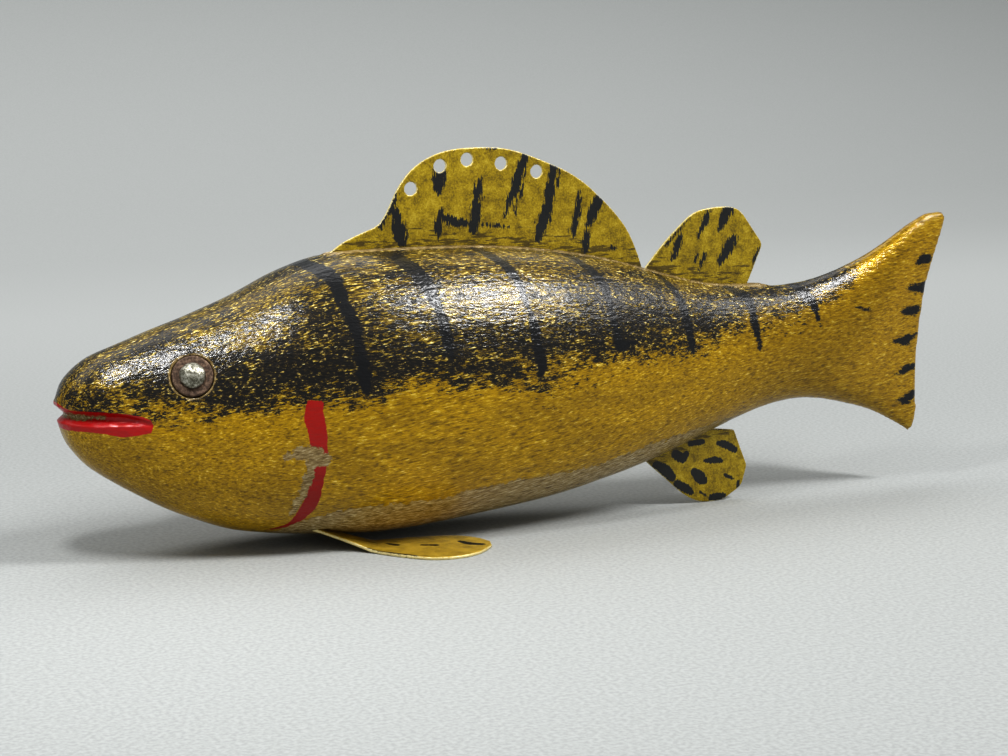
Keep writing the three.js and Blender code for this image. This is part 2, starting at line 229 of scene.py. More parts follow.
# The red stroke behind the head, and the height where the brush was set down
GILL = [
    [[-59, 33.4, 3.4], [-59.4, 31.4, 4], [-59.3, 30, 4.2], [-58.7, 27, 3.9],
     [-58.2, 22, 3.4], [-58.3, 18.5, 2.8], [-58.7, 14.4, 3.2], [-59.2, 11.6, 3.4],
     [-60.4, 8.6, 2.6], [-62.4, 6.2, 1.4], [-66, 5, 0.5]],
]
GILL_TOP = 34
# Scuffs through the paint of the left flank
SCUFFS = [
    [[-65, 22.6, 1], [-63.4, 23, 2.4], [-61, 23.2, 3], [-59, 22.4, 3.6], [-57, 21.4, 2.6]],
    [[-59.6, 21, 2.4], [-60.4, 17, 1.6], [-61.2, 13.4, 1.8], [-62.6, 9.8, 1.4]],
]
# The knife line behind the corner of the mouth
TOOL_LINE = [[[-92, 30, 0.4], [-88, 29.2, 1.4], [-84, 28.2, 0.4]]]
# The edges of the red mouth, [x, height], and the worn patch inside it.
LIP_TOP = [[-109, 34.4], [-107.9, 34.2], [-107, 33.4], [-106, 33], [-100, 32.8],
           [-95.5, 32.3], [-93.1, 31.8], [-91.4, 31], [-90.8, 29.8], [-89, 20]]
LIP_BOTTOM = [[-109, 28.9], [-106.6, 28.8], [-102.6, 28.7], [-99.9, 28.3], [-96.8, 27.6],
              [-94.1, 27.8], [-91.4, 28.4], [-90.8, 29.8], [-89, 40]]
WORN_MOUTH = [[[-106.8, 31.7, 0.8], [-104.6, 31.6, 1.8], [-101.5, 31.4, 1.4], [-99, 31.2, 0.4]]]
# Where the black of the back gives way to gold, and the upper edge of the bare belly: [x, height].
BACK_LIMIT = [[-108, 34], [-101, 32], [-85, 31.6], [-72, 32], [-62, 34], [-48, 34.4],
              [-40, 36], [-25, 35], [-8, 34.4], [7, 36], [20, 36.6], [35, 37.6],
              [53, 39.4], [66, 41.6], [76, 46], [82, 51], [90, 62], [108, 95]]
BELLY_LIMIT = [[-108, -9], [-66, 3], [-60, 7.4], [-53, 9.6], [-40, 10.4], [-28, 10.2],
               [-24, 11.6], [-15, 12.4], [0, 12.8], [10, 13.8], [22, 16.6], [35, 18.8],
               [47, 20.6], [58, 19.6], [75, 10], [108, -9]]

eye_low, eye_high = [np.array(corner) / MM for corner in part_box("eye_washer_left")]
eye_centre = (eye_low + eye_high) / 2
# The saw slots of the back fins run together from the front fin's start to the rear one's end.
SEAM_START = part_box("dorsal_fin_front")[0].x / MM
SEAM_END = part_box("dorsal_fin_rear")[1].x / MM


def from_eye(points):
    """Distance from the nearer eye's middle."""
    return np.linalg.norm(points * (1, 0, 1) + np.abs(points) * (0, -1, 0) - eye_centre, axis=1)


def from_mouth(points):
    """Distance from the notch of the mouth, seen from the side."""
    corner, height, half = -91, 30.8, 2.6
    behind = np.maximum(points[:, 0] - corner, 0)
    return np.hypot(behind, np.maximum(np.abs(points[:, 2] - height) - half, 0))


# An even skin of small faces, finer at the eye pockets and the mouth, laid back on the carved form
BODY_VOXEL = 0.7
FINE_AT_EYE, FINE_AT_MOUTH, FINE_CUTS = 5.6, 0.8, 2
apply_modifier(body, "REMESH", mode="VOXEL", voxel_size=BODY_VOXEL * MM)
refine(body, lambda p: (from_eye(p) < FINE_AT_EYE) | (from_mouth(p) < FINE_AT_MOUTH), FINE_CUTS)
apply_modifier(body, "SHRINKWRAP", target=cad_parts["body"], wrap_method="NEAREST_SURFACEPOINT")
at = points_of(body)

# Distance from the saw slots of the back and the belly. Points elsewhere count as clear of them.
SEAM_MARGIN, RIDGE_HEIGHT, CLEAR = 2, 44, 9
BELLY_SLOT_START, BELLY_SLOT_END, BELLY_SLOT_TOP = 26, 48, 26
at_seam = (at[:, 0] > SEAM_START - SEAM_MARGIN) & (at[:, 0] < SEAM_END + SEAM_MARGIN)
at_ridge = at_seam & (at[:, 2] > RIDGE_HEIGHT)
from_slot = np.where(at_ridge, np.abs(at[:, 1]), CLEAR)
at_belly_slot = (at[:, 0] > BELLY_SLOT_START) & (at[:, 0] < BELLY_SLOT_END) & (at[:, 2] < BELLY_SLOT_TOP)
from_slot = np.where(at_belly_slot, np.minimum(from_slot, np.abs(at[:, 1])), from_slot)

# The sandpaper takes off the facets, except at crisp edges and, for the most part, on the thin tail.
TAIL_FROM, TAIL_TO, TAIL_KEPT = 86, 100, 0.8
free = rise(4.6, 6.5, from_eye(at)) * rise(0.3, 2, from_mouth(at)) * rise(1, 2.5, from_slot)
free *= 1 - TAIL_KEPT * rise(TAIL_FROM, TAIL_TO, at[:, 0])
plain = weigh(body, free)
apply_modifier(body, "SMOOTH", factor=0.5, iterations=24, vertex_group=plain)
body.vertex_groups.clear()
apply_modifier(body, "SMOOTH", factor=0.4, iterations=1)

# The rasp leaves slow waves, a knife line runs back from the corner of the mouth, and a bead of
# filler lies along each side of the back fins. All in millimetres.
LONG_WAVE, SHORT_WAVE, WAVE_HEIGHT = 14, 5, 0.16
GROOVE_DEPTH = 0.3
BEAD_HEIGHT, BEAD_FROM_KEEL, BEAD_SPREAD = 0.5, 1.2, 0.5
at = points_of(body)
outward = normals_of(body)
waves = np.array([lumps.noise(Vector(p) / LONG_WAVE) + 0.5 * lumps.noise(Vector(p) / SHORT_WAVE)
                  for p in at * (0.6, 1, 1)])
calm = rise(5, 9, from_eye(at)) * rise(0.5, 4, from_mouth(at)) * rise(1.5, 4, from_slot)
groove = rise(-0.8, 0.6, flank_depth(at, TOOL_LINE))
past_seam = np.maximum(np.maximum(SEAM_START - at[:, 0], at[:, 0] - SEAM_END), 0)
bead = np.where(at_ridge, np.exp(-((np.abs(at[:, 1]) - BEAD_FROM_KEEL) / BEAD_SPREAD) ** 2), 0)
bead = bead * rise(-SEAM_MARGIN, 0, -past_seam)
lift = WAVE_HEIGHT * waves * calm - GROOVE_DEPTH * groove + BEAD_HEIGHT * bead
move_points(body, at + outward * lift[:, None])
at = points_of(body)

# Signed distances for the material: inside each stroke, lip and worn place, and above the limits.
# Paint has worn off the scuffs, the lip, the beads and the belly. The rims of the eye pockets are
# painted pale as bare wood, partly worn paint and partly a painted highlight on the rim.
# Each wear is in millimetres, and falls by so much for each millimetre away.
BEAD_WEAR, FALL_ACROSS, FALL_PAST_END = 3.4, 1.7, 2.4
RIM_WEAR_AND_HIGHLIGHT, RIM_FALL, RIM_RADIUS, RIM_START = 0.8, 3, 4.6, 4.3
paint_in(body, "bars", flank_depth(at, BARS + TAIL_DABS))
lips = np.minimum(-above_line(at, LIP_TOP), above_line(at, LIP_BOTTOM))
paint_in(body, "lips", lips)
paint_in(body, "gill", np.minimum(flank_depth(at, GILL), GILL_TOP - at[:, 2]))
scuffs = np.where(at[:, 1] < 0, flank_depth(at, SCUFFS), OUTSIDE)
worn_and_lit = np.maximum(scuffs, flank_depth(at, WORN_MOUTH))
worn_bead = BEAD_WEAR - FALL_ACROSS * np.abs(at[:, 1]) - FALL_PAST_END * past_seam
worn_and_lit = np.maximum(worn_and_lit, np.where(at_ridge, worn_bead, OUTSIDE))
# The rims of the eye pockets: worn paint and a painted highlight on the rim
rim_wear_and_highlight = RIM_WEAR_AND_HIGHLIGHT - RIM_FALL * np.abs(from_eye(at) - RIM_RADIUS)
worn_and_lit = np.maximum(worn_and_lit, np.where(from_eye(at) > RIM_START, rim_wear_and_highlight, OUTSIDE))
paint_in(body, "bare_and_lit_rim", np.maximum(worn_and_lit, -above_line(at, BELLY_LIMIT)))
paint_in(body, "back", above_line(at, BACK_LIMIT))
for polygon in body.data.polygons:
    polygon.use_smooth = True


def hex_colour(text):
    """A linear colour from an sRGB hex value."""
    parts = [int(text[i:i + 2], 16) / 255 for i in (1, 3, 5)]
    return (*[c / 12.92 if c <= 0.04045 else ((c + 0.055) / 1.055) ** 2.4 for c in parts], 1.0)


def new_material(name, **settings):
    """A material with its shader's own settings."""
    material = bpy.data.materials.new(name)
    material.use_nodes = True
    for key, value in settings.items():
        material.node_tree.nodes["Principled BSDF"].inputs[key.replace("_", " ")].default_value = value
    return material


# Settings that many nodes share: an eased map range, and a mix of two colours
EASED = {"interpolation_type": "SMOOTHSTEP"}
COLOURS = {"out": 2, "data_type": "RGBA"}


def add(material, kind, links, out=0, stops=(), **settings):
    """Adds a node with its settings, colour stops and links or constants, and returns an output.

    Sockets go by name, or by number where names repeat: in Mix 0 is the factor, 2 and 3 are numbers
    and 6 and 7 colours, and in Math 0, 1 and 2 are the operands. Output 3 of TexCoord is the place in
    the object, and output 2 of Attribute is its number.
    """
    node = material.node_tree.nodes.new("ShaderNode" + kind)
    for key, value in settings.items():
        setattr(node, key, value)
    for index, (spot, colour) in enumerate(stops):
        stop = node.color_ramp.elements[index] if index < 2 else node.color_ramp.elements.new(spot)
        stop.position = spot
        stop.color = hex_colour(colour)
    for key, value in links.items():
        if isinstance(value, bpy.types.NodeSocket):
            material.node_tree.links.new(value, node.inputs[key])
        else:
            node.inputs[key].default_value = value
    return node.outputs[out]


def finish_with(material, **links):
    """Links the sockets of the material's shader."""
    shader = material.node_tree.nodes["Principled BSDF"]
    for key, value in links.items():
        material.node_tree.links.new(value, shader.inputs[key.replace("_", " ")])


# Oil paint on rasped and sanded pine: bristle marks along the fish catch the light under an uneven coat
# of varnish, and the palest colour of each paint ramp below is a painted glint on them. The marks are
# 0.2 mm across and drawn at 0.3 to 0.36 mm so that they show.
wood = new_material("gold_and_black_paint_on_pine", Coat_Weight=0.8, Coat_Roughness=0.07,
                    Specular_IOR_Level=0.15)
place = add(wood, "TexCoord", {}, out=3)
along = add(wood, "Mapping", {"Vector": place, "Scale": (0.34, 1, 1)})
drawn = add(wood, "Mapping", {"Vector": place, "Rotation": (0, -0.16, 0), "Scale": (7.5, 1, 1)},
            vector_type="TEXTURE")
flecks = add(wood, "TexNoise", {"Vector": along, "Scale": 1 / (0.36 * MM),
                                "Detail": 3, "Roughness": 0.6})
streaks = add(wood, "TexNoise", {"Vector": drawn, "Scale": 1 / (0.3 * MM),
                                 "Detail": 3, "Roughness": 0.65})
ridges = add(wood, "TexNoise", {"Vector": along, "Scale": 1 / (0.9 * MM),
                                "Detail": 3, "Roughness": 0.6})
sponge = add(wood, "TexNoise", {"Vector": along, "Scale": 1 / (1.2 * MM),
                                "Detail": 6, "Roughness": 0.85})
patches = add(wood, "TexNoise", {"Vector": along, "Scale": 1 / (7 * MM), "Detail": 3, "Roughness": 0.6})
chips = add(wood, "TexNoise", {"Vector": place, "Scale": 1 / (1.7 * MM), "Detail": 5, "Roughness": 0.7})
brushed = add(wood, "Mix", {0: 0.65, 2: flecks, 3: streaks})
laid = add(wood, "Mix", {0: 0.2, 2: brushed, 3: ridges})

# Gold over the flanks, darker toward the tail and where it is thick, and ochre under the black.
# The top stop of each of these two ramps is a painted glint.
gold = add(wood, "ValToRGB", {"Fac": laid}, stops=[
    (0.39, "#6e5500"), (0.46, "#9e7c00"), (0.54, "#bb9504"), (0.585, "#ceac20"), (0.64, "#ecd46c")])
ochre = add(wood, "ValToRGB", {"Fac": laid}, stops=[
    (0.4, "#221a06"), (0.48, "#4c3a0a"), (0.55, "#7f6a18"), (0.59, "#c4aa48"), (0.63, "#f6ecb0")])
height = add(wood, "Attribute", {}, out=2, attribute_name="back")
upper = add(wood, "MapRange", {"Value": height, "From Min": -3, "From Max": 8}, **EASED)
aft = add(wood, "SeparateXYZ", {"Vector": place})
darker = add(wood, "MapRange", {"Value": aft, "From Min": 30 * MM, "From Max": 70 * MM,
                                "To Max": 0.35}, **EASED)
thick = add(wood, "MapRange", {"Value": patches, "From Min": 0.4, "From Max": 0.62,
                               "To Min": 0, "To Max": 0.25})
darker = add(wood, "Math", {0: darker, 1: thick}, operation="MAXIMUM")
gold = add(wood, "Mix", {0: darker, 6: gold, 7: hex_colour("#503a00")}, **COLOURS)
paint = add(wood, "Mix", {0: upper, 6: gold, 7: ochre}, **COLOURS)

# Black sponged over the back, thinning out down the flanks in streaks
cover = add(wood, "MapRange", {"Value": height, "From Min": -8, "From Max": 4,
                               "To Min": 0.33, "To Max": 0.55}, **EASED)
ridge = add(wood, "MapRange", {"Value": height, "From Min": 8, "From Max": 18,
                               "To Max": -0.055}, **EASED)
cover = add(wood, "Math", {0: cover, 1: ridge}, operation="ADD")
rear = add(wood, "MapRange", {"Value": aft, "From Min": 5 * MM, "From Max": 45 * MM,
                              "To Max": -0.045}, **EASED)
cover = add(wood, "Math", {0: cover, 1: rear}, operation="ADD")
thin = add(wood, "Math", {0: patches, 1: 0.4, 2: -0.2}, operation="MULTIPLY_ADD")
cover = add(wood, "Math", {0: cover, 1: thin}, operation="ADD")
dabbed = add(wood, "Mix", {0: 0.3, 2: sponge, 3: streaks})
short = add(wood, "Math", {0: cover, 1: dabbed}, operation="SUBTRACT")
sponged = add(wood, "MapRange", {"Value": short, "From Min": -0.022, "From Max": 0.018}, **EASED)
# The black's palest stop is gold showing through, painted pale as a glint
black = add(wood, "ValToRGB", {"Fac": flecks}, stops=[
    (0.4, "#0d0c0a"), (0.52, "#17130c"), (0.62, "#2f2512"), (0.72, "#c9b060")])
paint = add(wood, "Mix", {0: sponged, 6: paint, 7: black}, **COLOURS)

# Bars and dabs from a nearly dry brush
bars = add(wood, "Attribute", {}, out=2, attribute_name="bars")
ragged = add(wood, "Math", {0: sponge, 1: 5, 2: -2.6}, operation="MULTIPLY_ADD")
ragged = add(wood, "Math", {0: bars, 1: ragged}, operation="ADD")
barred = add(wood, "MapRange", {"Value": ragged, "From Min": -0.12, "From Max": 0.15}, **EASED)
paint = add(wood, "Mix", {0: barred, 6: paint, 7: hex_colour("#0a0b0e")}, **COLOURS)

# Red gill stroke and lips
gill = add(wood, "Attribute", {}, out=2, attribute_name="gill")
ragged = add(wood, "Math", {0: chips, 1: 1.2, 2: -0.6}, operation="MULTIPLY_ADD")
ragged = add(wood, "Math", {0: gill, 1: ragged}, operation="ADD")
gill = add(wood, "MapRange", {"Value": ragged, "From Min": -0.05, "From Max": 0.1}, **EASED)
paint = add(wood, "Mix", {0: gill, 6: paint, 7: hex_colour("#940f02")}, **COLOURS)
lips = add(wood, "Attribute", {}, out=2, attribute_name="lips")
ragged = add(wood, "Math", {0: chips, 1: 0.5, 2: -0.25}, operation="MULTIPLY_ADD")
ragged = add(wood, "Math", {0: lips, 1: ragged}, operation="ADD")
lips = add(wood, "MapRange", {"Value": ragged, "From Min": -0.05, "From Max": 0.08}, **EASED)
paint = add(wood, "Mix", {0: lips, 6: paint, 7: hex_colour("#a3120f")}, **COLOURS)
red = add(wood, "Math", {0: gill, 1: lips}, operation="MAXIMUM")

# Bare wood, where the paint has gone, with the grain 0.3 mm apart and darker low on the belly. Round
# the eye pockets the pale rim is partly a painted highlight.
bare_and_lit_rim = add(wood, "Attribute", {}, out=2, attribute_name="bare_and_lit_rim")
ragged = add(wood, "Math", {0: chips, 1: 4, 2: -2}, operation="MULTIPLY_ADD")
ragged = add(wood, "Math", {0: bare_and_lit_rim, 1: ragged}, operation="ADD")
bare_and_lit = add(wood, "MapRange", {"Value": ragged, "From Min": -0.15, "From Max": 0.15}, **EASED)
timber = add(wood, "ValToRGB", {"Fac": streaks}, stops=[
    (0.34, "#614c28"), (0.47, "#96804f"), (0.58, "#b09c6e"), (0.68, "#d8caa4")])
# The bare wood is mixed darker low on the belly
darker_low = add(wood, "MapRange", {"Value": height, "From Min": -22, "From Max": -16, "To Max": 0.4})
timber = add(wood, "Mix", {0: darker_low, 6: timber, 7: hex_colour("#54452f")}, **COLOURS)
paint = add(wood, "Mix", {0: bare_and_lit, 6: paint, 7: timber}, **COLOURS)
finish_with(wood, Base_Color=paint)

# The gold has a metal's sheen where nothing covers it, less near the back and on the dusty belly
plain_gold = add(wood, "Math", {0: 1, 1: sponged}, operation="SUBTRACT")
other = add(wood, "Math", {0: barred, 1: red}, operation="MAXIMUM")
other = add(wood, "Math", {0: other, 1: bare_and_lit}, operation="MAXIMUM")
gilded = add(wood, "MapRange", {"Value": other, "From Min": 0, "From Max": 1,
                                "To Min": 0.55, "To Max": 0})
gilded = add(wood, "Math", {0: gilded, 1: plain_gold}, operation="MULTIPLY")
dulled = add(wood, "MapRange", {"Value": upper, "From Min": 0, "From Max": 1,
                                "To Min": 1, "To Max": 0.2})
gilded = add(wood, "Math", {0: gilded, 1: dulled}, operation="MULTIPLY")
dusty = add(wood, "MapRange", {"Value": height, "From Min": -24, "From Max": -12,
                               "To Min": 0.1}, **EASED)
gilded = add(wood, "Math", {0: gilded, 1: dusty}, operation="MULTIPLY")
rough = add(wood, "MapRange", {"Value": bare_and_lit, "To Min": 0.42, "To Max": 0.75})
finish_with(wood, Metallic=gilded, Roughness=rough)
# Bristle marks stand up from the paint, and bare wood lies below it
relief = add(wood, "Math", {0: brushed, 1: 0.4, 2: ridges}, operation="MULTIPLY_ADD")
relief = add(wood, "Math", {0: bare_and_lit, 1: -0.5, 2: relief}, operation="MULTIPLY_ADD")
bristled = add(wood, "Bump", {"Strength": 0.5, "Distance": 0.35 * MM, "Height": relief})
finish_with(wood, Normal=bristled)
varnished = add(wood, "Bump", {"Strength": 0.55, "Distance": 0.35 * MM, "Height": relief})
finish_with(wood, Coat_Normal=varnished)
body.data.materials.append(wood)
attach(body, "root")
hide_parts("body")

# The fins
# Cut with snips from tinned sheet about 0.7 mm thick and filed round the edge, painted gold and
# streaked black with a nearly dry brush. Each tang stands in a saw slot in the wood.

# Gold enamel brushed on thinly rolled tinplate: a greenish, slightly blotched gold with a soft sheen,
# pale along the filed edge, both worn to bare metal and a painted highlight. The fins that lie on the
# floor are painted paler as a painted sheen. The bristle marks of the black run up and down, 0.36 mm
# apart, and the paint is darker in smears along the foot of each upright fin.
tin = new_material("gold_paint_on_tinplate", Coat_Weight=0.5, Coat_Roughness=0.25)
place = add(tin, "TexCoord", {}, out=3)
upright = add(tin, "Mapping", {"Vector": place, "Scale": (1, 1, 0.17)})
mottle = add(tin, "TexNoise", {"Vector": place, "Scale": 1 / (2.6 * MM), "Detail": 5, "Roughness": 0.7})
fine = add(tin, "TexNoise", {"Vector": place, "Scale": 1 / (0.4 * MM), "Detail": 3, "Roughness": 0.65})
bristles = add(tin, "TexNoise", {"Vector": upright, "Scale": 1 / (0.36 * MM),
                                 "Detail": 3, "Roughness": 0.6})
blotches = add(tin, "Mix", {0: 0.45, 2: mottle, 3: fine})
paint = add(tin, "ValToRGB", {"Fac": blotches}, stops=[
    (0.38, "#6d5a08"), (0.46, "#8d7706"), (0.54, "#a48c08"), (0.62, "#b8a230")])
# The paint is darker in smears along the foot of each upright fin, where it meets the body
root = add(tin, "Attribute", {}, out=2, attribute_name="root")
sidelong = add(tin, "Mapping", {"Vector": place, "Scale": (0.15, 1, 1)})
smears = add(tin, "TexNoise", {"Vector": sidelong, "Scale": 1 / (0.6 * MM),
                               "Detail": 4, "Roughness": 0.65})
ragged = add(tin, "Math", {0: smears, 1: 26, 2: -13}, operation="MULTIPLY_ADD")
ragged = add(tin, "Math", {0: root, 1: ragged}, operation="ADD")
darkened_foot = add(tin, "MapRange", {"Value": ragged, "From Min": 2, "From Max": 0.4,
                              "To Min": 0, "To Max": 0.8}, **EASED)
paint = add(tin, "Mix", {0: darkened_foot, 6: paint, 7: hex_colour("#3d2f0c")}, **COLOURS)
# Painted sheen: the fins that lie on the floor are painted paler gold
painted_sheen = add(tin, "Attribute", {}, out=2, attribute_name="painted_sheen")
painted_sheen = add(tin, "Math", {0: painted_sheen, 1: mottle}, operation="MULTIPLY")
paint = add(tin, "Mix", {0: painted_sheen, 6: paint, 7: hex_colour("#cfae4e")}, **COLOURS)
strokes = add(tin, "Attribute", {}, out=2, attribute_name="black")
dry = add(tin, "Attribute", {}, out=2, attribute_name="dry")
ragged = add(tin, "Math", {0: bristles, 1: 3.6, 2: -1.9}, operation="MULTIPLY_ADD")
ragged = add(tin, "Math", {0: ragged, 1: dry}, operation="MULTIPLY")
ragged = add(tin, "Math", {0: strokes, 1: ragged}, operation="ADD")
black = add(tin, "MapRange", {"Value": ragged, "From Min": -0.08, "From Max": 0.12}, **EASED)
paint = add(tin, "Mix", {0: black, 6: paint, 7: hex_colour("#0b0c0c")}, **COLOURS)
# The pale filed edge: worn to bare metal, and a painted highlight along it
edge = add(tin, "Attribute", {}, out=2, attribute_name="edge")
ragged = add(tin, "Math", {0: fine, 1: 0.9, 2: -0.45}, operation="MULTIPLY_ADD")
ragged = add(tin, "Math", {0: edge, 1: ragged}, operation="ADD")
worn_and_lit = add(tin, "MapRange", {"Value": ragged, "From Min": 0.25, "From Max": 0.05}, **EASED)
paint = add(tin, "Mix", {0: worn_and_lit, 6: paint, 7: hex_colour("#d8ca92")}, **COLOURS)
gilded = add(tin, "MapRange", {"Value": black, "To Min": 0.3, "To Max": 0})
finish_with(tin, Base_Color=paint, Metallic=gilded)
rough = add(tin, "MapRange", {"Value": mottle, "From Min": 0.3, "From Max": 0.7,
                              "To Min": 0.38, "To Max": 0.55})
finish_with(tin, Roughness=rough)
relief = add(tin, "Math", {0: black, 1: 0.3, 2: fine}, operation="MULTIPLY_ADD")
finish_with(tin, Normal=add(tin, "Bump", {"Strength": 0.7, "Distance": 0.1 * MM, "Height": relief}))

FIN_VOXEL = 0.25
# The axis across the sheet: Y for a fin in the keel's plane, Z for one that lies on the floor
KEEL, FLOOR = 1, 2
# The fins are bent a little out of true, by hand.
BEND_HEIGHT, BEND_LENGTH = 0.35, 9
# A point whose normal leans at least this far off the axis across the sheet is on its edge.
EDGE_LEAN = 0.6


def sheet_piece(node, strokes, root_height, thin=KEEL):
    """A fin from its CAD form, with the strokes of its face. Thin is the axis across the sheet."""
    piece = copy_of_node(node, node + "_sheet")
    apply_modifier(piece, "REMESH", mode="VOXEL", voxel_size=FIN_VOXEL * MM)
    apply_modifier(piece, "SHRINKWRAP", target=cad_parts[node], wrap_method="NEAREST_SURFACEPOINT")
    apply_modifier(piece, "SMOOTH", factor=0.5, iterations=2)
    at = points_of(piece)
    flat = at.copy()
    flat[:, thin] = 0
    runs = [np.insert(smooth_line(line), thin, 0, axis=1) for line in strokes]
    paint_in(piece, "black", stroke_depth(flat, runs))
    rim = KDTree(len(at))
    for index in np.where(np.abs(normals_of(piece)[:, thin]) < EDGE_LEAN)[0]:
        rim.insert(at[index], int(index))
    rim.balance()
    paint_in(piece, "edge", [rim.find(point)[2] for point in at])
    from_root = np.abs(root_height(at)) if thin == KEEL else np.full(len(at), float(CLEAR))
    paint_in(piece, "root", from_root)
    # Only the fins that lie on the floor get the painted sheen
    paint_in(piece, "painted_sheen", np.full(len(at), 0.0 if thin == KEEL else 1.0))
    paint_in(piece, "dry", np.full(len(at), 1.0 if root_height is above_back else 0.3))
    if thin == KEEL:
        at[:, thin] += BEND_HEIGHT * np.sin(at[:, 0] / BEND_LENGTH + 1) * rise(1, 8, from_root)
        move_points(piece, at)
    for polygon in piece.data.polygons:
        polygon.use_smooth = True
    piece.data.materials.append(tin)
    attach(piece, "root")
    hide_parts(node)


def body_line(places, start_height, up):
    """The body's surface beside the slots at some places along it, cast from above or below."""
    beside_keel = 1.4
    heights = [skin.ray_cast(Vector((x, beside_keel, start_height)) * MM, Vector((0, 0, up)))[0].z / MM
               for x in places]
    return np.column_stack([places, heights])


ABOVE, BELOW = 90, -9
body_top = body_line(range(-60, 70, 3), ABOVE, -1)
body_bottom = body_line(range(20, 60, 3), BELOW, 1)


def above_back(points):
    return above_line(points, body_top)


def below_belly(points):
    return above_line(points, body_bottom)


# The black strokes of the upright fins: [x, height, width] along each one, in millimetres.
FRONT_STROKES = [
    [[-33.1, 73.4, 1.4], [-34.2, 71.3, 1.8], [-35.6, 69.1, 1.2], [-36.6, 67, 1.6]],
    [[-34, 71, 1.8], [-33.1, 69.2, 2.6], [-32.6, 67.1, 3], [-32.2, 65, 3.4], [-31.8, 63.6, 2.6]],
    [[-22.9, 78, 3.2], [-23.1, 76.5, 3.4], [-23.3, 74.9, 2.4], [-23.3, 73.4, 1]],
    [[-22.7, 70.1, 1.2], [-22.9, 68.6, 1.8], [-23.3, 66.3, 2], [-23, 64.4, 1.4]],
    [[-22.4, 68.4, 1.6], [-20, 67.6, 2.4], [-17.4, 67, 1.8], [-15.3, 66.6, 1.2]],
    [[-13.6, 76.3, 1], [-14, 73.9, 2], [-14.4, 71.1, 2.6], [-14.7, 68.3, 2.8], [-14.8, 65.4, 2.4]],
    [[-12.5, 74.8, 0.6], [-12.9, 72, 0.8]],
    [[-2.1, 81.6, 2], [-3.1, 79.2, 2.4], [-4.2, 76.4, 2.8], [-5.2, 73.6, 2.4], [-6.3, 71.5, 1.6],
     [-7.4, 68, 0.8]],
    [[-2.6, 75.4, 0.7], [-4.2, 71.2, 0.9], [-4.9, 68.6, 0.7]],
    [[4.8, 79, 2.4], [4.3, 76.6, 2], [3.7, 73.8, 2.6], [3.3, 70.9, 2.6], [2.4, 67.6, 3.2], [1.4, 65.3, 3],
     [0.7, 62.9, 2]],
    [[6, 77.7, 0.7], [5.6, 73.7, 0.8]],
    [[10.9, 72.8, 0.8], [10.7, 70.2, 1.8], [10.2, 67.3, 2], [9.5, 64.5, 1.6], [9.2, 62.8, 0.8]],
    [[15.9, 71.4, 2.8], [14.6, 68.9, 3.2], [13.7, 66.7, 2.2], [12.9, 65.3, 1.4]],
    [[12.7, 63.9, 1.8], [12.4, 61.9, 2.2], [12.2, 59.5, 1.4]],
    [[-12.2, 83.2, 0.8], [-9.6, 83, 1]],
    [[-13, 66.5, 0.7], [-10.2, 66.2, 1], [-6.5, 65.8, 0.7]],
    [[18.6, 60.2, 0.8], [19.5, 59.8, 0.9]],
]
REAR_STROKES = [
    [[38.4, 66, 0.7], [35, 62.7, 0.8], [32.4, 60, 0.8]],
    [[36.1, 61.8, 1.6], [35.6, 60, 2], [34.7, 57.9, 1.6], [33.7, 56.6, 0.8]],
    [[43.5, 67.3, 1.2], [42.8, 65.5, 2], [41.9, 63.7, 1.4], [40.9, 61.6, 0.8]],
    [[49, 68, 3], [47.9, 66.2, 3], [47.2, 64.7, 2.2], [46.5, 62.9, 1]],
    [[50, 60.6, 2.6], [49, 58.8, 2.9], [47.6, 57, 2.2], [46.5, 54.6, 0.8]],
    [[41, 57.9, 0.9], [39.9, 56.1, 0.7]],
    [[42.5, 57.5, 1], [41.8, 55.4, 0.8], [41.4, 53.9, 0.6]],
    [[57.4, 58.4, 0.7], [55.8, 55.4, 0.8]],
]
ANAL_SPOTS = [
    [[39.5, 14, 1.5], [42.7, 14.2, 1.5]],
    [[46.9, 13.6, 1.2], [48.7, 13.1, 1.9], [51.5, 11.7, 1.7]],
    [[35.7, 11.9, 2.2], [37.4, 10.9, 2.6], [38.5, 11.7, 1.6]],
    [[43.4, 9.7, 0.9], [45.9, 9.7, 1.8], [47.9, 9.3, 1]],
    [[30.8, 9.5, 2.5], [32.9, 8.1, 3.3], [34.7, 6.7, 2.2]],
    [[40.6, 7.3, 2.1], [42.3, 5.8, 3], [43.3, 5, 1.6]],
    [[48.8, 6, 0.8], [49.9, 5.4, 1.1], [51.1, 4.8, 0.7]],
    [[36.1, 5, 2], [38.6, 3.6, 2.2], [40, 2.5, 1.2]],
    [[45.3, 0.8, 2], [47.6, 0.9, 2.1], [48.9, 1.1, 1]],
    [[42.3, 2.5, 0.7], [43.8, 1.5, 0.6]],
    [[52.6, 4, 1], [52.4, 2.6, 1]],
]
# The pectoral fin's streaks are [x, y, width], on the left one.
PECTORAL_STREAKS = [
    [[-25.4, -16.4, 1.4], [-24.4, -19.2, 2.2], [-22.3, -20.9, 1.6]],
    [[-34.2, -16.2, 1.1], [-31.6, -17.6, 1.6]],
    [[-40.4, -12, 1], [-39, -14, 1.5]],
    [[-46.2, -16, 1], [-43.5, -19.8, 1.4], [-39.5, -25, 1.6]],
]
sheet_piece("dorsal_fin_front", FRONT_STROKES, above_back)
sheet_piece("dorsal_fin_rear", REAR_STROKES, above_back)
sheet_piece("anal_fin", ANAL_SPOTS, below_belly)
sheet_piece("pectoral_fin_left", PECTORAL_STREAKS, None, FLOOR)
far_streaks = [[[x, -y, width] for x, y, width in line] for line in PECTORAL_STREAKS]
sheet_piece("pectoral_fin_right", far_streaks, None, FLOOR)

# The eyes
# A steel washer gone brown, let into a shallow pocket, and the domed head of a tack driven through
# it, worn bright and dinted by the hammer.

EYE_VOXEL = 0.11
# The hammer's dints in the tack, and the washer's rim, spread a little toward the pocket's wall
DINT_HEIGHT, DINT_SPACING = 0.08, 1.3
RIM_GROWTH, RIM_FROM, RIM_TO = 0.04, 3.6, 4

